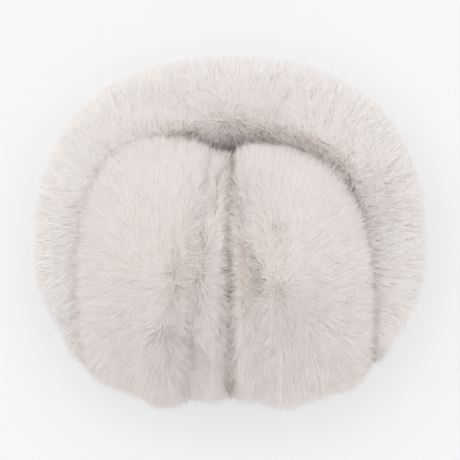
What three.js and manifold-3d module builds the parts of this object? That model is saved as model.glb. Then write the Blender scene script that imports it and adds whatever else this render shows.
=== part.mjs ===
// Fur earmuffs: a thick fur headband bent over two fat ear cups. Each cup is an outer
// fur shell and an ear-side pad, sewn together along a slanting seam, and hangs on the
// band by one hidden post. The earmuffs lie on their side, as they rest on a table: the
// two cups on their rims, pads together, and the top of the band dipping to the table.
//
// Millimetres. +X is the wearer-right side, +Y points to the top of the band, +Z is up
// from the table at z = 0. Every solid is the outer form of dense fur: single hairs
// stand a few millimetres further out.
import * as THREE from 'three';
import { mergeVertices } from 'three/addons/utils/BufferGeometryUtils.js';
import Module from 'manifold-3d';

const wasm = await Module();
wasm.setup();

// Space left between two pieces that press on each other.
const GAP = 0.3;

// The table top that flattens the fur which rests on it.
const TABLE = { width: 400, thickness: 40 };

// The band's middle line is an oval arc in plan. Its reach is measured from the arc's
// centre, and its turn in degrees from the top of the head to either end. Squareness
// and fullness are 2 for a true oval, and more for one with fuller corners.
const BAND = {
  centreY: -5,
  reachSide: 76.5,
  reachTop: 70.4,
  reachLow: 58,
  squareness: 2.5,
  fullness: 2.9,
  endTurn: 127,
  topHeight: 27.8,
  endHeight: 54,
  dipFrom: 12,
  dipTo: 118,
  endRound: 17,
  endShare: 0.09,
  rings: 50,
  sides: 24,
};

// How thick the band is on its way from the top to an end.
const BAND_SECTIONS = [
  { turn: 0, halfWidth: 21.5, halfDepth: 28.6 },
  { turn: 35, halfWidth: 20.6, halfDepth: 27.4 },
  { turn: 70, halfWidth: 18.6, halfDepth: 25.6 },
  { turn: 100, halfWidth: 17.8, halfDepth: 24.6 },
  { turn: 127, halfWidth: 15.5, halfDepth: 21.0 },
];

// The outer shell of a cup, turned about its own axis: along runs outwards from the
// seam, and reach is half its length there.
const SHELL_SECTIONS = [
  { along: 0.6, reach: 56.6 },
  { along: 1.6, reach: 58.8 },
  { along: 4.6, reach: 60.8 },
  { along: 10, reach: 62.0 },
  { along: 19, reach: 62.0 },
  { along: 28, reach: 60.0 },
  { along: 35, reach: 57.2 },
  { along: 41, reach: 52.6 },
  { along: 46, reach: 45.4 },
  { along: 49.6, reach: 35.6 },
  { along: 51.7, reach: 22.0 },
  { along: 52.2, reach: 9.0 },
];

// The pad behind it, drawn as if it were as thick all over as it is in its middle:
// along runs from the seam to the face that meets the other pad.
const PAD_SECTIONS = [
  { along: 0, reach: 54.0 },
  { along: 1.0, reach: 56.0 },
  { along: 3.4, reach: 57.7 },
  { along: 7.5, reach: 58.4 },
  { along: 12, reach: 57.9 },
  { along: 15.4, reach: 55.9 },
  { along: 17.3, reach: 52.6 },
  { along: 18, reach: 48.4 },
];

const CUP = {
  centreZ: 53.4,
  shellRoundness: 0.905,
  padRoundness: 0.92,
  padLift: 2.4,
  shellSteps: 22,
  padSteps: 13,
  sides: 38,
};

// Where each cup's seam stands, how far the seam tilts, how far the dome leans towards
// the top of the band, and how much of the dome's reach that way is taken off its
// outer corner, as a share.
const CUPS = [
  { side: 'left', outward: -1, seamX: -19.2, seamY: -22.8, tilt: 7.6, lean: 6, cut: 0 },
  { side: 'right', outward: 1, seamX: 13.8, seamY: -23.2, tilt: 7.0, lean: -5, cut: 0.13 },
];

const POST = { radius: 4.5, inner: 30, outer: 54, segments: 16 };

const FUR_LOOK = { color: 0xe4dcd6, roughness: 0.95, metalness: 0 };
const PAD_LOOK = { color: 0xdcd2cc, roughness: 0.95, metalness: 0 };
const POST_LOOK = { color: 0x8c8884, roughness: 0.5, metalness: 0 };

// A closed skin: the vertices of a sphere, moved to where place(ring, around) says.
// Rings are counted from pole to pole, and around runs from 0 to 1 about the form.
function closedSkin(rings, sides, place) {
  const geometry = new THREE.SphereGeometry(1, sides, rings);
  const { position, uv } = geometry.attributes;
  for (let i = 0; i < position.count; i += 1) {
    const spot = place(Math.round((1 - uv.getY(i)) * rings), uv.getX(i));
    position.setXYZ(i, spot.x, spot.y, spot.z);
  }
  geometry.deleteAttribute('normal');
  geometry.deleteAttribute('uv');
  return mergeVertices(geometry, 1e-3);
}

// The merged geometry as a solid that can be joined or cut.
function toSolid(geometry) {
  const mesh = new wasm.Mesh({
    numProp: 3,
    vertProperties: new Float32Array(geometry.attributes.position.array),
    triVerts: new Uint32Array(geometry.index.array),
  });
  return new wasm.Manifold(mesh);
}

function toGeometry(solid) {
  const { vertProperties, triVerts } = solid.getMesh();
  const geometry = new THREE.BufferGeometry();
  geometry.setAttribute('position', new THREE.BufferAttribute(vertProperties, 3));
  geometry.setIndex(new THREE.BufferAttribute(triVerts, 1));
  geometry.computeVertexNormals();
  return geometry;
}

function plainSolid(geometry) {
  geometry.deleteAttribute('normal');
  geometry.deleteAttribute('uv');
  return toSolid(mergeVertices(geometry, 1e-3));
}

// Smooth value of a named column at a turn, from the rows on either side.
function columnAt(rows, column, turn) {
  const last = rows.length - 1;
  const next = Math.max(1, rows.findIndex((row, i) => i === last || row.turn >= turn));
  const from = rows[next - 1];
  const to = rows[next];
  const share = THREE.MathUtils.smoothstep(turn, from.turn, to.turn);
  return THREE.MathUtils.lerp(from[column], to[column], share);
}

// A point of the band's middle line, for a turn in degrees (left is negative).
function bandPoint(turn) {
  const angle = THREE.MathUtils.degToRad(turn);
  const x = Math.sin(angle);
  const y = Math.cos(angle);
  const reachY = y > 0 ? BAND.reachTop : BAND.reachLow;
  const power = BAND.squareness;
  const spread = Math.abs(x / BAND.reachSide) ** power + Math.abs(y / reachY) ** power;
  const reach = spread ** (-1 / power);
  const dip = THREE.MathUtils.smoothstep(Math.abs(turn), BAND.dipFrom, BAND.dipTo);
  const height = THREE.MathUtils.lerp(BAND.topHeight, BAND.endHeight, dip);
  return new THREE.Vector3(x * reach, BAND.centreY + y * reach, height);
}

// How far along the band a ring of its skin lies, and how much the round end has
// narrowed it there. Half of each round end reaches beyond the middle line.
function ringOnBand(along, length, end) {
  const nearEnd = Math.min(along, 1 - along) / BAND.endShare;
  if (nearEnd >= 1) {
    const share = (along - BAND.endShare) / (1 - 2 * BAND.endShare);
    return { travel: THREE.MathUtils.lerp(end / 2, length - end / 2, share), narrow: 1 };
  }
  const angle = nearEnd * Math.PI / 2;
  const inset = end / 2 - end * Math.cos(angle);
  const travel = along < 0.5 ? inset : length - inset;
  return { travel, narrow: Math.sin(angle) };
}

// A sine or cosine that gives an oval fuller corners.
function filledOut(wave) {
  return Math.sign(wave) * Math.abs(wave) ** (2 / BAND.fullness);
}

// The headband: oval sections across the middle line, with round ends. grow makes it
// larger all over.
function bandSolid(grow) {
  const turns = [];
  for (let turn = -BAND.endTurn; turn <= BAND.endTurn; turn += 1) turns.push(turn);
  const route = new THREE.CatmullRomCurve3(turns.map(bandPoint));
  const length = route.getLength();
  const up = new THREE.Vector3(0, 0, 1);
  const skin = closedSkin(BAND.rings, BAND.sides, (ring, around) => {
    const end = BAND.endRound + grow;
    const { travel, narrow } = ringOnBand(ring / BAND.rings, length, end);
    const share = THREE.MathUtils.clamp(travel / length, 0, 1);
    const heading = route.getTangentAt(share);
    const outwards = new THREE.Vector3().crossVectors(up, heading).normalize();
    const upwards = new THREE.Vector3().crossVectors(heading, outwards);
    const turn = Math.abs(THREE.MathUtils.lerp(-BAND.endTurn, BAND.endTurn, share));
    const width = (columnAt(BAND_SECTIONS, 'halfWidth', turn) + grow) * narrow;
    const depth = (columnAt(BAND_SECTIONS, 'halfDepth', turn) + grow) * narrow;
    const angle = -around * 2 * Math.PI;
    const spot = route.getPointAt(share);
    spot.addScaledVector(heading, travel - share * length);
    spot.addScaledVector(outwards, width * filledOut(Math.cos(angle)));
    spot.addScaledVector(upwards, depth * filledOut(Math.sin(angle)));
    return spot;
  });
  return toSolid(skin);
}

// The frame of one cup: its axis points outwards from the middle of its seam, and its
// length runs up towards the top of the band.
function cupFrame(cup) {
  const tilt = THREE.MathUtils.degToRad(cup.tilt);
  return {
    middle: new THREE.Vector3(cup.seamX, cup.seamY, CUP.centreZ),
    axis: new THREE.Vector3(cup.outward * Math.cos(tilt), Math.sin(tilt), 0),
    length: new THREE.Vector3(-cup.outward * Math.sin(tilt), Math.cos(tilt), 0),
  };
}

// The side view of a form that is turned about an axis: a smooth curve through the
// rows, closed by a flat face at either end. x is along the axis, y the reach from it.
function sideProfile(rows, steps) {
  const curve = new THREE.SplineCurve(
    rows.map((row) => new THREE.Vector2(row.along, row.reach)),
  );
  const first = new THREE.Vector2(rows[0].along, 0);
  const last = new THREE.Vector2(rows.at(-1).along, 0);
  return [first, ...curve.getSpacedPoints(steps), last];
}

// The outer shell: an oval dome that leans as it rises from its flat seam face.
function shellSolid(cup) {
  const { middle, axis, length } = cupFrame(cup);
  const profile = sideProfile(SHELL_SECTIONS, CUP.shellSteps);
  const height = SHELL_SECTIONS.at(-1).along;
  const skin = closedSkin(profile.length - 1, CUP.sides, (ring, around) => {
    const { x: out, y: reach } = profile[ring];
    const angle = -cup.outward * around * 2 * Math.PI;
    const risen = (out / height) ** 2;
    const upwards = Math.cos(angle);
    const kept = 1 - cup.cut * risen * Math.max(upwards, 0);
    const spot = middle.clone().addScaledVector(axis, out);
    spot.addScaledVector(length, reach * upwards * kept + cup.lean * risen);
    spot.z += reach * CUP.shellRoundness * Math.sin(angle);
    return spot;
  });
  return toSolid(skin);
}

// The pad: a wedge-shaped cushion between the tilted seam and the upright plane x = 0
// where the two pads meet.
function padSolid(cup) {
  const { middle, axis, length } = cupFrame(cup);
  const profile = sideProfile(PAD_SECTIONS, CUP.padSteps);
  const depth = PAD_SECTIONS.at(-1).along;
  const skin = closedSkin(profile.length - 1, CUP.sides, (ring, around) => {
    const { x: inward, y: reach } = profile[ring];
    const angle = cup.outward * around * 2 * Math.PI;
    const spot = middle.clone();
    spot.addScaledVector(length, reach * Math.cos(angle) + CUP.padLift);
    spot.z += reach * CUP.padRoundness * Math.sin(angle);
    const thickness = (Math.abs(spot.x) - GAP / 2) / Math.abs(axis.x) - GAP;
    spot.addScaledVector(axis, -GAP - (inward / depth) * thickness);
    return spot;
  });
  return toSolid(skin);
}

// The hidden post on a cup's axis, from inside the shell to inside the band.
function postSolid(cup, grow) {
  const { middle, axis } = cupFrame(cup);
  const radius = POST.radius + grow;
  const reach = POST.outer - POST.inner + 2 * grow;
  const geometry = new THREE.CylinderGeometry(radius, radius, reach, POST.segments);
  const turn = new THREE.Quaternion().setFromUnitVectors(new THREE.Vector3(0, 1, 0), axis);
  geometry.applyQuaternion(turn);
  const centre = middle.clone().addScaledVector(axis, (POST.inner + POST.outer) / 2);
  geometry.translate(centre.x, centre.y, centre.z);
  return plainSolid(geometry);
}

// What lies below the table top, which flattens the fur that rests on it.
function tableSolid() {
  const geometry = new THREE.BoxGeometry(TABLE.width, TABLE.width, TABLE.thickness);
  geometry.translate(0, 0, -TABLE.thickness / 2);
  return plainSolid(geometry);
}

function namedMesh(name, solid, look) {
  const mesh = new THREE.Mesh(toGeometry(solid), new THREE.MeshStandardMaterial(look));
  mesh.name = name;
  return mesh;
}

const group = new THREE.Group();
const table = tableSolid();
const pressedBy = bandSolid(GAP);
let band = bandSolid(0).subtract(table);

for (const cup of CUPS) {
  const socket = postSolid(cup, GAP);
  const shell = shellSolid(cup).subtract(table).subtract(pressedBy).subtract(socket);
  band = band.subtract(socket);
  group.add(namedMesh(`${cup.side}_cup`, shell, FUR_LOOK));
  group.add(namedMesh(`${cup.side}_pad`, padSolid(cup).subtract(table), PAD_LOOK));
  group.add(namedMesh(`${cup.side}_post`, postSolid(cup, 0), POST_LOOK));
}
group.add(namedMesh('headband', band, FUR_LOOK));

// The origin is on the table, under the middle of the box that the earmuffs fill.
const middleOfBox = new THREE.Box3().setFromObject(group).getCenter(new THREE.Vector3());
group.position.set(-middleOfBox.x, -middleOfBox.y, 0);

export default group;
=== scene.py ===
"""Looks of the fur earmuffs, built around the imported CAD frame.

Every soft CAD node gets a skin, which is the padded form under the fur, and two coats of
hair that grow from it: a dense, short underfur and a longer, finer top coat. Each hair is
a thin tapered ribbon of real mesh. Everything is in metres, in the frame's own axes.
"""

import bpy
import numpy as np
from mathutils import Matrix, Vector
from mathutils.bvhtree import BVHTree


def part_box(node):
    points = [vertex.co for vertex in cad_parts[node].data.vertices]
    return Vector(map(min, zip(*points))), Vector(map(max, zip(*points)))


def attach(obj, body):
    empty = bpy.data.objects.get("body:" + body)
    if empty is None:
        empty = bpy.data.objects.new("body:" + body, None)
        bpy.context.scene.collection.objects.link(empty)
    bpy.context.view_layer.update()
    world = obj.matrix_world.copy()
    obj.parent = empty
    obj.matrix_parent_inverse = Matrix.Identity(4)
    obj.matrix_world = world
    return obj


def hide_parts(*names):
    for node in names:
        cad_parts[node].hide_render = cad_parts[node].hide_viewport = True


MM = 0.001
SOFT_NODES = ("headband", "left_cup", "right_cup", "left_pad", "right_pad")
POST_NODES = ("left_post", "right_post")

# The skins lie this deep under the outline of the dense fur, or less where a piece is thin
# or where it lies close to the next one, so that a seam stays narrow: at most this share
# of the thickness there, which is measured from just inside, and at most SEAM_DEPTH and
# SEAM_WIDENING times the gap.
SKIN_DEPTHS = {
    "headband": 6.5 * MM,
    "left_cup": 9.0 * MM,
    "right_cup": 9.0 * MM,
    "left_pad": 7.5 * MM,
    "right_pad": 7.5 * MM,
}
SKIN_THIN_SHARE = 0.22
SEAM_DEPTH = 0.4 * MM
SEAM_WIDENING = 0.45
SKIN_VOXEL = 3.0 * MM
JUST_INSIDE = 0.05 * MM

# How many hairs of each coat grow on a piece.
HAIR_COUNTS = {
    "headband": {"underfur": 190000, "top_coat": 42000},
    "left_cup": {"underfur": 145000, "top_coat": 27000},
    "right_cup": {"underfur": 145000, "top_coat": 27000},
    "left_pad": {"underfur": 60000, "top_coat": 11000},
    "right_pad": {"underfur": 60000, "top_coat": 11000},
}

# What a coat's hairs are like. Spread is how much they differ in length, as a share of it;
# tuft is how many grow in a tuft, and gather is how far those close up towards their tips.
# Leans are in degrees from the skin's normal, at the root and at the tip, and stray is how
# much they differ.
COATS = {
    "underfur": {
        "length": 10.4 * MM,
        "spread": 0.10,
        "width": 0.24 * MM,
        "segments": 1,
        "tuft": 4,
        "tuft_radius": 1.1 * MM,
        "gather": 0.10,
        "lean_root": 26,
        "lean_tip": 26,
        "stray": 10,
    },
    "top_coat": {
        "length": 11.8 * MM,
        "spread": 0.16,
        "width": 0.19 * MM,
        "segments": 2,
        "tuft": 7,
        "tuft_radius": 1.5 * MM,
        "gather": 0.35,
        "lean_root": 14,
        "lean_tip": 40,
        "stray": 10,
    },
}

# The colours of a coat's hair at its root, in its middle and at its tip, where the tone is
# plain.
COAT_COLOURS = {
    "underfur": ((0.79, 0.72, 0.66), (0.905, 0.876, 0.847), (0.962, 0.952, 0.943)),
    "top_coat": ((0.80, 0.74, 0.68), (0.925, 0.902, 0.880), (0.97, 0.963, 0.956)),
}

# How much wider than its coat says a piece's hair is, so that it covers closely. Single
# hairs differ in width by WIDTH_SHARES, narrow by TAPER towards the tip before they run to
# a point, and are rolled about their length by about ROLL radians.
WIDENING = {
    "headband": 1.35,
    "left_cup": 1.15,
    "right_cup": 1.15,
    "left_pad": 1.15,
    "right_pad": 1.15,
}
WIDTH_SHARES = (0.7, 1.2)
TAPER = 0.45
ROLL = 0.25

# Fewer tufts grow on the underside: the z of the skin's normal at two levels, and the
# shares of the tufts that grow there.
UNDERSIDE_LEVELS = (-0.9, -0.2)
UNDERSIDE_SHARES = (0.35, 1.0)

# None grow where the middle of their hair would be lower than LOWEST_MIDDLE, or where the
# next piece's skin is nearer than CROWDED straight in front of them. A place that near the
# next skin, in whichever direction, counts as closest to it. TRIES places are tried for
# each tuft.
LOWEST_MIDDLE = -1.5 * MM
CROWDED = 3.2 * MM
TRIES = 3

# Hair stops this high above the floor, and some up to this much higher.
FLOOR_GAP = 0.25 * MM
FLOOR_UNEVENNESS = 0.6 * MM

# How much the tufts differ in length, how much room straight outwards a full tuft needs, in
# lengths of its hair, and what share of its length it keeps with the least room.
TUFT_SPREAD = 0.10
ROOM_NEEDED = 1.2
SHORTEST_SHARE = 0.45

# Where one piece's hair meets the next piece's, the numbers of MEETING_KEYS: how far across
# the space between the two skins it may reach, as a share of it; how long it is at the
# closest, as a share of its full length; how much its tone is darkened there, 0 to 1, which
# is painted crease shade along with the fur's brown undertone; within how many millimetres
# of the next skin that darkening begins; and from which cosine of facing it.
MEETING_KEYS = ("across", "length", "shade_and_undertone", "within", "facing")
MEETINGS = {
    ("headband", "left_cup"): (0.45, 0.8, 0.65, 20, 0),
    ("headband", "right_cup"): (0.37, 0.75, 0.8, 22, 0),
    ("headband", "left_pad"): (0.75, 1.4, 0.5, 32, 0),
    ("headband", "right_pad"): (0.75, 1.4, 0.5, 32, 0),
    ("left_cup", "headband"): (0.45, 0.8, 0.8, 17, 0),
    ("right_cup", "headband"): (0.36, 0.65, 1.0, 20, -0.1),
    ("left_pad", "headband"): (0.50, 0.9, 1.0, 26, 0),
    ("right_pad", "headband"): (0.50, 0.9, 1.0, 26, 0),
    ("left_cup", "left_pad"): (0.70, 0.9, 0.5, 8, 0),
    ("right_cup", "right_pad"): (0.90, 1.0, 0.2, 8, 0),
    ("left_pad", "left_cup"): (0.40, 0.7, 0.5, 8, 0),
    ("right_pad", "right_cup"): (0.80, 0.7, 0.2, 8, 0),
    ("left_pad", "right_pad"): (0.37, 0.6, 1.0, 12, -0.45),
    ("right_pad", "left_pad"): (0.29, 0.6, 1.0, 12, -0.45),
}

# The same for pieces that meet only over the middle crease, and how near a piece has to be
# to be met at all.
OVER_THE_MIDDLE = (0.42, 1.0, 0.0, 8, 0)
MEETING_REACH = 40.0 * MM

# At this distance from the next skin hair has its full length again. How far across single
# hairs may reach differs by these shares.
LENGTH_REACH = 12.0 * MM
LOOSENESS = (0.85, 1.05)

# The painted crease shade, with the brown undertone, goes by this power of the closeness,
# and comes in over this much of the cosine. It is multiplied by this level plus waves of
# this weight and length.
SHADE_AND_UNDERTONE_FADE = 0.7
FACING_FADE = 0.6
SHADE_AND_UNDERTONE_LEVEL = 0.95
SHADE_AND_UNDERTONE_WAVES = 0.15
SHADE_AND_UNDERTONE_WAVELENGTH = 45 * MM

# A hair's tone is from 0, brown, to 1, as pale as its coat, and is faintly warm in between,
# at WARM_TONE. In the creases the tone is lowered as painted crease shade along with the
# fur's brown undertone; away from them it lies between a piece's plain tones. This share of
# the hairs are pale wisps, which take on only this much of the painted crease shade.
WARM_TONE = 0.5
PLAIN_TONES = {
    "headband": (0.6, 1.0),
    "left_cup": (0.42, 0.78),
    "right_cup": (0.45, 0.85),
    "left_pad": (0.45, 0.85),
    "right_pad": (0.45, 0.80),
}
PALE_WISPS = 0.16
WISP_SHADE_SHARE = 0.35

# Hair is shaded by its skin's normal and straight up, by these weights, against 1 for its
# own face. Straight up loses up to this share of its weight in a crease.
SHADE_NORMAL = 2.0
SHADE_LIFT = 1.4
SHADE_LIFT_LOST = 0.3

# The width of the strip of the OFBake map that a hair takes up.
TONE_STRIP = 1 / 256

# Which way the hair flows over its skin: the weights of downhill, of broad and of narrow
# waves, and of leading out of a crease, which begins at LIFT_REACH from the next skin.
DOWNHILL = 0.9
BROAD_WAVES = 0.24
BROAD_WAVELENGTH = 60 * MM
NARROW_WAVES = 0.10
NARROW_WAVELENGTH = 14 * MM
LIFT = 1.6
LIFT_REACH = 24.0 * MM

# How much the way out of a crease leans upwards, at what strength of the flow hair follows
# it by half, and how far single hairs go astray from it.
WAY_OUT_UPWARDS = 0.6
HALF_FOLLOWED = 0.25
ASTRAY = 0.33

# Which way the hair of a piece is combed, on top of that flow: one way all over, or away
# from the middle of the piece.
COMBED = {
    "left_pad": (0.35, -0.1, 0),
    "right_pad": (-0.2, -0.1, 0),
}
COMBED_OUTWARDS = {"headband": 0.5}

# Whorls that the hair fans out from, as shares of a node's box across and along it, how
# wide they are, and their weight in the flow.
WHORLS = {
    "left_cup": [(0.56, 0.66)],
    "right_cup": [(0.28, 0.70), (0.68, 0.46)],
}
WHORL_RADIUS = 13.0 * MM
WHORL = 0.25


# ---------------------------------------------------------------------- small helpers
def unit(vectors):
    """The rows of an array, each one unit long."""
    lengths = np.linalg.norm(vectors, axis=-1, keepdims=True)
    return vectors / np.maximum(lengths, 1e-12)


def turned(vectors, axes, angles):
    """vectors turned about unit axes they are square to, by angles in radians."""
    cosine, sine = np.cos(angles)[:, None], np.sin(angles)[:, None]
    return vectors * cosine + np.cross(axes, vectors) * sine


def waves(points, seed, wavelength, count=7):
    """A smooth random vector for each point: a few sine waves of about that length."""
    rng = np.random.default_rng(seed)
    directions = unit(rng.normal(size=(count, 3)))
    pitches = 2 * np.pi / (wavelength * rng.uniform(0.7, 1.5, count))
    phases = rng.uniform(0, 2 * np.pi, count)
    pushes = rng.normal(size=(count, 3))
    swings = np.sin(points @ (directions * pitches[:, None]).T + phases)
    return swings @ pushes / np.sqrt(count / 2)


def mesh_arrays(mesh):
    """A mesh's vertices, vertex normals and triangles, as arrays."""
    mesh.calc_loop_triangles()
    places = np.empty(len(mesh.vertices) * 3)
    normals = np.empty(len(mesh.vertices) * 3)
    triangles = np.empty(len(mesh.loop_triangles) * 3, int)
    mesh.vertices.foreach_get("co", places)
    mesh.vertices.foreach_get("normal", normals)
    mesh.loop_triangles.foreach_get("vertices", triangles)
    return places.reshape(-1, 3), normals.reshape(-1, 3), triangles.reshape(-1, 3)


def linked(name, data):
    """A new object in the scene."""
    made = bpy.data.objects.new(name, data)
    bpy.context.scene.collection.objects.link(made)
    return made


def tree_of(mesh):
    """A mesh's triangles, ready to be searched by ray or by nearest place."""
    places, _, triangles = mesh_arrays(mesh)
    return BVHTree.FromPolygons(places.tolist(), triangles.tolist())


def others_of(node, trees):
    """The search trees of all the other nodes."""
    return {name: tree for name, tree in trees.items() if name != node}


def with_modifiers_applied(piece):
    """Bakes a piece's modifiers into its mesh."""
    graph = bpy.context.evaluated_depsgraph_get()
    graph.update()
    finished = bpy.data.meshes.new_from_object(piece.evaluated_get(graph))
    piece.modifiers.clear()
    piece.data = finished


# ------------------------------------------------------------------ camera and lights
def add_camera():
    """Straight above the earmuffs, looking down on the arc of the band."""
    distance = 1.25
    seen_width = 0.230
    focus_height = 0.055
    lens = bpy.data.cameras.new("camera")
    lens.sensor_width = 36
    lens.lens = lens.sensor_width * distance / seen_width
    camera = linked("camera", lens)
    camera.location = (0, 0, focus_height + distance)
    bpy.context.scene.camera = camera


def add_light(name, place, size, power, colour):
    """A square soft box that faces the middle of the earmuffs."""
    box = bpy.data.lights.new(name, "AREA")
    box.size = size
    box.energy = power
    box.color = colour
    light = linked(name, box)
    light.location = place
    middle = Vector((0, 0, 0.05))
    aim = middle - light.location
    light.rotation_euler = aim.to_track_quat("-Z", "Y").to_euler()


def add_lights():
    """A pale warm room, a large cool soft box high up to the left and beyond the band, and
    a weak warm one low at the open side."""
    world = bpy.data.worlds.new("pale_room")
    world.use_nodes = True
    sky = world.node_tree.nodes["Background"]
    sky.inputs["Color"].default_value = (1.0, 0.965, 0.955, 1)
    sky.inputs["Strength"].default_value = 0.72
    scene = bpy.context.scene
    scene.world = world
    add_light("key", (-0.10, 0.27, 1.55), 1.5, 23.8, (0.985, 0.99, 1.0))
    add_light("warm_fill", (0.45, -0.85, 0.55), 0.8, 0.8, (1.0, 0.85, 0.76))
    scene.view_settings.view_transform = "Standard"
    scene.cycles.diffuse_bounces = 8


def add_floor():
    """A plain pale table top, well past the camera's view, that glows a little."""
    half = 4.0
    mesh = bpy.data.meshes.new("floor")
    corners = [(-half, -half, 0), (half, -half, 0), (half, half, 0), (-half, half, 0)]
    mesh.from_pydata(corners, [], [(0, 1, 2, 3)])
    material = bpy.data.materials.new("floor_paint")
    material.use_nodes = True
    paint = material.node_tree.nodes["Principled BSDF"]
    paint.inputs["Base Color"].default_value = (0.24, 0.24, 0.24, 1)
    paint.inputs["Roughness"].default_value = 0.9
    paint.inputs["Emission Color"].default_value = (0.97, 1.0, 1.0, 1)
    paint.inputs["Emission Strength"].default_value = 0.58
    mesh.materials.append(material)
    linked("floor", mesh)


# -------------------------------------------------------------------------- materials
def new_material(name):
    """An empty node material: its tree, and its Principled shader."""
    material = bpy.data.materials.new(name)
    material.use_nodes = True
    return material, material.node_tree, material.node_tree.nodes["Principled BSDF"]


def ramp(tree, factor, stops):
    """A colour ramp on factor through (place, colour) stops, and its colour output."""
    node = tree.nodes.new("ShaderNodeValToRGB")
    elements = node.color_ramp.elements
    elements[0].position, elements[1].position = stops[0][0], stops[-1][0]
    elements[0].color, elements[1].color = (*stops[0][1], 1), (*stops[-1][1], 1)
    for place, colour in stops[1:-1]:
        elements.new(place).color = (*colour, 1)
    tree.links.new(factor, node.inputs["Fac"])
    return node.outputs["Color"]


def multiplied(tree, first, second):
    """The product of two colours."""
    node = tree.nodes.new("ShaderNodeMix")
    node.data_type = "RGBA"
    node.blend_type = "MULTIPLY"
    node.inputs["Factor"].default_value = 1
    tree.links.new(first, node.inputs["A"])
    tree.links.new(second, node.inputs["B"])
    return node.outputs["Result"]


def hair_material(name, root, middle, tip):
    """Hair on the OFBake map: V runs from root to tip, and U is the hair's own tone."""
    material, tree, shader = new_material(name)
    spot = tree.nodes.new("ShaderNodeUVMap")
    spot.uv_map = "OFBake"
    axes = tree.nodes.new("ShaderNodeSeparateXYZ")
    tree.links.new(spot.outputs["UV"], axes.inputs["Vector"])
    along = ramp(tree, axes.outputs["Y"], [(0.0, root), (0.40, middle), (0.95, tip)])
    # The low tones, brown and tan, are painted crease shade along with the fur's brown undertone.
    brown, tan, warm = (0.37, 0.27, 0.23), (0.72, 0.635, 0.60), (0.95, 0.925, 0.91)
    tones = [(0.0, brown), (0.25, tan), (WARM_TONE, warm), (0.8, (1.0, 1.0, 1.0))]
    tone = ramp(tree, axes.outputs["X"], tones)
    colour = multiplied(tree, along, tone)
    tree.links.new(colour, shader.inputs["Base Color"])
    through = tree.nodes.new("ShaderNodeBsdfTranslucent")
    tree.links.new(colour, through.inputs["Color"])
    both = tree.nodes.new("ShaderNodeMixShader")
    both.inputs["Fac"].default_value = 0.4
    tree.links.new(shader.outputs["BSDF"], both.inputs[1])
    tree.links.new(through.outputs["BSDF"], both.inputs[2])
    tree.links.new(both.outputs["Shader"], tree.nodes["Material Output"].inputs["Surface"])
    shader.inputs["Roughness"].default_value = 0.62
    shader.inputs["Specular IOR Level"].default_value = 0.25
    shader.inputs["Sheen Weight"].default_value = 0.15
    return material


def skin_material():
    """The woven backing and its matted undercoat, seen only deep between the hairs."""
    material, tree, shader = new_material("fur_backing")
    place = tree.nodes.new("ShaderNodeTexCoord")
    matted = tree.nodes.new("ShaderNodeTexNoise")
    matted.inputs["Scale"].default_value = 900
    matted.inputs["Detail"].default_value = 4
    tree.links.new(place.outputs["Object"], matted.inputs["Vector"])
    dark, light = (0.64, 0.58, 0.54), (0.78, 0.73, 0.69)
    colour = ramp(tree, matted.outputs["Fac"], [(0.3, dark), (0.7, light)])
    tree.links.new(colour, shader.inputs["Base Color"])
    bump = tree.nodes.new("ShaderNodeBump")
    bump.inputs["Distance"].default_value = 0.4 * MM
    tree.links.new(matted.outputs["Fac"], bump.inputs["Height"])
    tree.links.new(bump.outputs["Normal"], shader.inputs["Normal"])
    shader.inputs["Roughness"].default_value = 0.95
    return material


def post_material():
    """Plain moulded plastic with a fine grain."""
    material, tree, shader = new_material("post_plastic")
    place = tree.nodes.new("ShaderNodeTexCoord")
    grain = tree.nodes.new("ShaderNodeTexNoise")
    grain.inputs["Scale"].default_value = 1500
    tree.links.new(place.outputs["Object"], grain.inputs["Vector"])
    dark, light = (0.24, 0.23, 0.22), (0.30, 0.29, 0.28)
    colour = ramp(tree, grain.outputs["Fac"], [(0.3, dark), (0.7, light)])
    tree.links.new(colour, shader.inputs["Base Color"])
    shader.inputs["Roughness"].default_value = 0.5
    return material


# ------------------------------------------------------------------------------- skins
def inset(mesh, full_depth, others):
    """Moves a closed mesh's surface inwards by the depth of the fur that grows on it."""
    places, normals, triangles = mesh_arrays(mesh)
    tree = BVHTree.FromPolygons(places.tolist(), triangles.tolist())
    depths = np.empty(len(places))
    for i, (place, normal) in enumerate(zip(places, normals, strict=True)):
        start = Vector(place - normal * JUST_INSIDE)
        through = tree.ray_cast(start, Vector(-normal))[3]
        thickness = through if through is not None else full_depth / SKIN_THIN_SHARE
        gap = min(other.find_nearest(Vector(place))[3] for other in others.values())
        in_seam = SEAM_DEPTH + SEAM_WIDENING * gap
        depths[i] = min(full_depth, SKIN_THIN_SHARE * thickness, in_seam)
    moved = places - normals * depths[:, None]
    mesh.vertices.foreach_set("co", moved.ravel())
    mesh.update()


def make_skin(node, others, material):
    """The padded form under a node's fur: its CAD solid, remeshed, inset and smoothed."""
    skin = linked(f"{node}_skin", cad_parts[node].data.copy())
    remesh = skin.modifiers.new("remesh", "REMESH")
    remesh.mode = "VOXEL"
    remesh.voxel_size = SKIN_VOXEL
    with_modifiers_applied(skin)
    inset(skin.data, SKIN_DEPTHS[node], others)
    smooth = skin.modifiers.new("smooth", "SMOOTH")
    smooth.factor = 0.5
    smooth.iterations = 3
    with_modifiers_applied(skin)
    skin.data.materials.clear()
    skin.data.materials.append(material)
    skin.data.shade_smooth()
    return skin


# -------------------------------------------------------------------------------- hair
def varied(rng, spread, count, least, most):
    """Random factors about 1, held between least and most."""
    return rng.normal(1, spread, count).clip(least, most)


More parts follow.
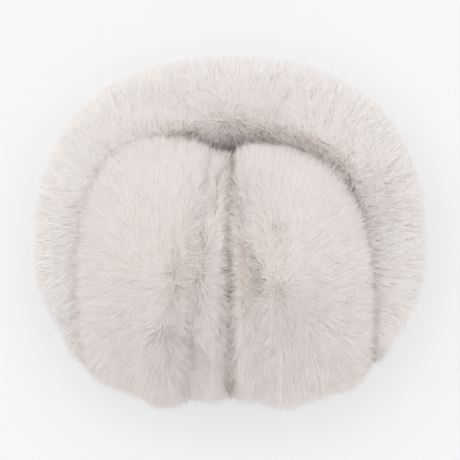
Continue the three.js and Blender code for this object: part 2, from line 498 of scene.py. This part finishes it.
def scattered(skin, count, rng):
    """Random places on a skin, evenly by area, with the smooth normals there."""
    places, normals, triangles = mesh_arrays(skin.data)
    a, b, c = places[triangles].transpose(1, 0, 2)
    areas = np.linalg.norm(np.cross(b - a, c - a), axis=1)
    chosen = triangles[rng.choice(len(triangles), count, p=areas / areas.sum())]
    u, v = rng.random((2, count, 1))
    over = u + v > 1
    u, v = np.where(over, 1 - u, u), np.where(over, 1 - v, v)
    weights = np.stack([1 - u - v, u, v], 1)
    return (places[chosen] * weights).sum(1), unit((normals[chosen] * weights).sum(1))


def surroundings(places, normals, others, reach):
    """What a hair meets at each place: its room straight outwards, up to reach, and, for
    each other skin in turn, how near it is and which way it lies."""
    room = np.full(len(places), reach)
    gaps = np.full((len(places), len(others)), MEETING_REACH)
    towards = np.zeros((len(places), len(others), 3))
    for i, (place, normal) in enumerate(zip(places, normals, strict=True)):
        start, heading = Vector(place), Vector(normal)
        for j, tree in enumerate(others.values()):
            room[i] = min(room[i], tree.ray_cast(start, heading, room[i])[3] or reach)
            spot, _, _, gap = tree.find_nearest(start, MEETING_REACH)
            if spot is not None:
                gaps[i, j] = gap
                towards[i, j] = (spot - start).normalized()
    return room, gaps, towards


def asked(meetings, key):
    """One number of every meeting, as an array."""
    return np.array(meetings)[:, MEETING_KEYS.index(key)]


def crease_depth(places, normals, gaps, towards, meetings):
    """How deep in a crease each place lies, from 0 to 1, by its gaps to the neighbours and
    how far it faces them, a little more here and less there. It is how strongly hair there
    is darkened with painted crease shade and the fur's brown undertone."""
    within = asked(meetings, "within") * MM
    closeness = 1 - (gaps - CROWDED).clip(0) / (within - CROWDED)
    facing = (towards * normals[:, None]).sum(2)
    walled = ((facing - asked(meetings, "facing")) / FACING_FADE).clip(0, 1)
    # How strongly painted crease shade, with the brown undertone, darkens hair facing this neighbour.
    strength = asked(meetings, "shade_and_undertone") * walled
    depth = (closeness.clip(0) ** SHADE_AND_UNDERTONE_FADE * strength).max(1)
    uneven = waves(places, seed=13, wavelength=SHADE_AND_UNDERTONE_WAVELENGTH)[:, 0]
    return (depth * (SHADE_AND_UNDERTONE_LEVEL + SHADE_AND_UNDERTONE_WAVES * uneven)).clip(0, 1)


def length_share(gaps, meetings):
    """What share of its full length hair has at each place, by its nearest neighbour."""
    nearest = gaps.argmin(1)
    away = ((gaps.min(1) - CROWDED) / (LENGTH_REACH - CROWDED)).clip(0, 1)
    return away + (1 - away) * asked(meetings, "length")[nearest]


def ways_out(node, places, towards):
    """For each place and each neighbour: the way out of the space between them."""
    low, high = (np.array(corner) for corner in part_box(node))
    outwards = unit(places - (low + high) / 2) + (0, 0, WAY_OUT_UPWARDS)
    outwards = np.repeat(outwards[:, None], towards.shape[1], 1)
    return unit(outwards - towards * (outwards * towards).sum(2, keepdims=True))


def fanned_out(node, places):
    """The part of the flow that leads away from the node's whorls."""
    low, high = (np.array(corner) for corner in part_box(node))
    flow = np.zeros((len(places), 3))
    for across, along in WHORLS.get(node, []):
        centre = low + (high - low) * (across, along, 1.0)
        apart = places - centre
        apart[:, 2] = 0
        distance = np.linalg.norm(apart, axis=1, keepdims=True)
        flow += apart / WHORL_RADIUS * np.exp(-((distance / WHORL_RADIUS) ** 2))
    return flow


def lifted(gaps, outwards):
    """The part of the flow that leads out of the crease with the nearest neighbour."""
    lift = 1 - (gaps.min(1) - CROWDED).clip(0) / (LIFT_REACH - CROWDED)
    nearest = gaps.argmin(1)
    return LIFT * lift.clip(0)[:, None] * outwards[np.arange(len(gaps)), nearest]


def combed(node, places):
    """The part of the flow that the combing gives."""
    low, high = (np.array(corner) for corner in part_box(node))
    outwards = unit((places - (low + high) / 2) * (1, 1, 0))
    return COMBED_OUTWARDS.get(node, 0) * outwards + COMBED.get(node, (0, 0, 0))


def flow_of(node, places, normals, gaps, outwards):
    """Which way the hair lies along the skin at each place, and how strongly."""
    downhill = normals * normals[:, 2:] - (0, 0, 1)
    flow = DOWNHILL * downhill
    flow += BROAD_WAVES * waves(places, seed=11, wavelength=BROAD_WAVELENGTH)
    flow += NARROW_WAVES * waves(places, seed=12, wavelength=NARROW_WAVELENGTH)
    flow += WHORL * fanned_out(node, places) + combed(node, places)
    flow += lifted(gaps, outwards)
    return flow - normals * (flow * normals).sum(1, keepdims=True)


def grow_tufts(node, skin, others, coat, count, rng):
    """The tufts of a coat, as arrays by name."""
    wanted = count // coat["tuft"]
    places, normals = scattered(skin, wanted * TRIES, rng)
    shares = np.interp(normals[:, 2], UNDERSIDE_LEVELS, UNDERSIDE_SHARES)
    seen = rng.random(len(places)) < shares
    places, normals = places[seen], normals[seen]
    reach = ROOM_NEEDED * coat["length"]
    room, gaps, towards = surroundings(places, normals, others, reach)
    middle_heights = places[:, 2] + normals[:, 2] * coat["length"] * 0.5
    keep = np.flatnonzero((room > CROWDED) & (middle_heights > LOWEST_MIDDLE))[:wanted]
    places, normals, gaps, towards = places[keep], normals[keep], gaps[keep], towards[keep]
    meetings = [MEETINGS.get((node, name), OVER_THE_MIDDLE) for name in others]
    outwards = ways_out(node, places, towards)
    roomy = np.clip(room[keep] / reach, SHORTEST_SHARE, 1)
    shortened = roomy * length_share(gaps, meetings)
    return {
        "places": places,
        "normals": normals,
        "flow": flow_of(node, places, normals, gaps, outwards),
        "length": coat["length"] * shortened * varied(rng, TUFT_SPREAD, len(keep), least=0.75, most=1.2),
        "towards": towards,
        "outwards": outwards,
        "allowed": gaps * asked(meetings, "across"),
        "depth": crease_depth(places, normals, gaps, towards, meetings),
    }


def held_back(reaches, hairs, looseness):
    """How hairs reach from their tufts' places when each is turned outwards wherever it
    would go too far towards a neighbour."""
    for j in range(hairs["allowed"].shape[1]):
        towards, outwards = hairs["towards"][:, j], hairs["outwards"][:, j]
        limit = hairs["allowed"][:, j] * looseness
        excess = ((reaches * towards).sum(1) - limit).clip(0)[:, None]
        lengths = np.linalg.norm(reaches, axis=1, keepdims=True)
        reaches = unit(reaches + excess * (outwards - towards)) * lengths
    return reaches


def headings(hairs, rng):
    """Which way each hair leans along the skin: with the flow, but not all alike."""
    normals, flow = hairs["normals"], hairs["flow"]
    strength = np.linalg.norm(flow, axis=1, keepdims=True)
    heading = flow / (strength + HALF_FOLLOWED) + ASTRAY * rng.normal(size=flow.shape)
    return unit(heading - normals * (heading * normals).sum(1, keepdims=True))


def hair_lines(hairs, coat, rng):
    """The middle line of every hair, as an array of hairs by points along them."""
    places, normals = hairs["places"], hairs["normals"]
    count = len(places)
    stray = np.radians(coat["stray"])
    heading = headings(hairs, rng)
    across = np.cross(normals, heading)
    angle = rng.uniform(0, 2 * np.pi, count)[:, None]
    radius = coat["tuft_radius"] * np.sqrt(rng.random(count))[:, None]
    offset = radius * (np.cos(angle) * heading + np.sin(angle) * across)
    lean_root = np.radians(coat["lean_root"]) + rng.normal(0, stray, count)
    lean_tip = np.radians(coat["lean_tip"]) + rng.normal(0, stray, count)
    length = hairs["length"] * varied(rng, coat["spread"], count, least=0.5, most=1.25)
    steps = coat["segments"]
    looseness = rng.uniform(*LOOSENESS, count)
    points = [places + offset]
    for step in range(steps):
        lean = lean_root + (lean_tip - lean_root) * (step + 0.5) / steps
        way = normals * np.cos(lean)[:, None] + heading * np.sin(lean)[:, None]
        closing = offset * coat["gather"] / steps
        reaches = points[-1] + way * (length / steps)[:, None] - closing - places
        points.append(places + held_back(reaches, hairs, looseness))
    lines = np.stack(points, 1)
    lowest = FLOOR_GAP + FLOOR_UNEVENNESS * rng.random((count, 1))
    lines[:, :, 2] = np.maximum(lines[:, :, 2], lowest)
    return lines


def hair_tones(hairs, plain_tones, rng):
    """The tone of every hair, lower the deeper in a crease it grows: painted crease shade along with the
    fur's brown undertone.
    """
    count = len(hairs["depth"])
    plain_tone = rng.uniform(*plain_tones, count)
    shade_share = np.where(rng.random(count) < PALE_WISPS, WISP_SHADE_SHARE, 1.0)
    return plain_tone * (1 - shade_share * hairs["depth"])


def hair_leanings(hairs):
    """Which way the shading of every hair leans: outwards, and less upwards in a crease."""
    lifts = SHADE_LIFT * (1 - SHADE_LIFT_LOST * hairs["depth"])
    return SHADE_NORMAL * hairs["normals"] + lifts[:, None] * (0, 0, 1)


def ribbon_places(lines, sides, widths, shares):
    """The corners of every ribbon: a pair at each row of its line, and one at its tip."""
    half = 0.5 * widths[:, None] * (1 - TAPER * shares)
    left = lines[:, :-1] - sides[:, None] * half[:, :, None]
    right = lines[:, :-1] + sides[:, None] * half[:, :, None]
    pairs = np.stack([left, right], 2).reshape(len(lines), -1, 3)
    return np.concatenate([pairs, lines[:, -1:]], 1)


def ribbon_faces(steps):
    """What corners the faces of one ribbon run round, and how many each has: four, but
    three for the last one, at the tip."""
    corners = []
    for step in range(steps - 1):
        low = 2 * step
        corners += [low, low + 1, low + 3, low + 2]
    last = 2 * (steps - 1)
    corners += [last, last + 1, last + 2]
    return corners, [4] * (steps - 1) + [3]


def ribbon_mesh(name, places, steps):
    """The mesh of all the ribbons, and the vertices that its faces run round."""
    hairs, per_hair = places.shape[:2]
    corners, sizes = ribbon_faces(steps)
    loops = (np.arange(hairs)[:, None] * per_hair + corners).ravel()
    totals = np.tile(sizes, hairs)
    starts = np.concatenate([[0], np.cumsum(totals)[:-1]])
    mesh = bpy.data.meshes.new(name)
    mesh.vertices.add(hairs * per_hair)
    mesh.vertices.foreach_set("co", places.astype(np.float32).ravel())
    mesh.loops.add(len(loops))
    mesh.loops.foreach_set("vertex_index", loops.astype(np.int32))
    mesh.polygons.add(len(totals))
    mesh.polygons.foreach_set("loop_start", starts.astype(np.int32))
    mesh.update(calc_edges=True)
    return mesh, loops


def add_bake_map(mesh, loops, tones, shares):
    """Maps each ribbon onto a narrow strip of its own tone: V runs along it, U across."""
    u = tones * (1 - 2 * TONE_STRIP)
    across = np.array([0, 1] * len(shares) + [0.5])
    along = np.append(np.repeat(shares, 2), 1.0)
    uv = np.stack([u[:, None] + TONE_STRIP * across, np.tile(along, (len(tones), 1))], 2)
    layer = mesh.uv_layers.new(name="OFBake")
    layer.data.foreach_set("uv", uv.reshape(-1, 2)[loops].astype(np.float32).ravel())


def ribbons(name, lines, leanings, tones, width, material, rng):
    """One piece of flat tapered ribbons along the hair lines, each facing outwards."""
    hairs, steps = len(lines), lines.shape[1] - 1
    ways = unit(np.diff(lines, axis=1))
    sides = unit(np.cross(ways[:, 0], leanings))
    sides = turned(sides, ways[:, 0], rng.normal(0, ROLL, hairs))
    widths = width * rng.uniform(*WIDTH_SHARES, hairs)
    shares = np.arange(steps) / steps
    places = ribbon_places(lines, sides, widths, shares)
    mesh, loops = ribbon_mesh(name, places, steps)
    add_bake_map(mesh, loops, tones, shares)
    facing = unit(np.cross(sides, ways.sum(1)))
    shading = np.repeat(unit(leanings + facing), places.shape[1], 0)
    mesh.materials.append(material)
    mesh.shade_smooth()
    mesh.normals_split_custom_set_from_vertices(shading.astype(np.float32))
    return linked(name, mesh)


def grow_coat(node, coat_name, skin, others, material, rng):
    """One coat of hair on one node, as one piece."""
    coat = COATS[coat_name]
    tufts = grow_tufts(node, skin, others, coat, HAIR_COUNTS[node][coat_name], rng)
    hairs = {name: np.repeat(column, coat["tuft"], 0) for name, column in tufts.items()}
    lines = hair_lines(hairs, coat, rng)
    tones = hair_tones(hairs, PLAIN_TONES[node], rng)
    name, width = f"{node}_{coat_name}", coat["width"] * WIDENING[node]
    return ribbons(name, lines, hair_leanings(hairs), tones, width, material, rng)


def dress_node(node, skins, trees, materials, rng):
    """Declares a node's skin and grows both coats on it."""
    skin = skins[node]
    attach(skin, "root")
    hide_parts(node)
    others = others_of(node, trees)
    for coat_name in COATS:
        hair = grow_coat(node, coat_name, skin, others, materials[coat_name], rng)
        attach(hair, "root")


def build():
    """Dresses every soft node in fur, and gives the posts their plastic."""
    backing = skin_material()
    materials = {name: hair_material(name, *colours) for name, colours in COAT_COLOURS.items()}
    solids = {node: tree_of(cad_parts[node].data) for node in SOFT_NODES}
    skins = {node: make_skin(node, others_of(node, solids), backing) for node in SOFT_NODES}
    trees = {node: tree_of(skin.data) for node, skin in skins.items()}
    rng = np.random.default_rng(20)
    for node in SOFT_NODES:
        dress_node(node, skins, trees, materials, rng)
    plastic = post_material()
    for node in POST_NODES:
        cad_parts[node].material_slots[0].material = plastic


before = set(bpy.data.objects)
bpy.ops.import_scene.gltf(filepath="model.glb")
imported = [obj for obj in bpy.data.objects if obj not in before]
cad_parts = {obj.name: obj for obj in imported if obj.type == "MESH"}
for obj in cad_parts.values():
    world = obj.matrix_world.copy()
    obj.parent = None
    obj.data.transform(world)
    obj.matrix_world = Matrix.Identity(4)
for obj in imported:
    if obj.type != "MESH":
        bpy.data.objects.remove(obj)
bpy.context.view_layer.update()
add_camera()
add_lights()
add_floor()
build()
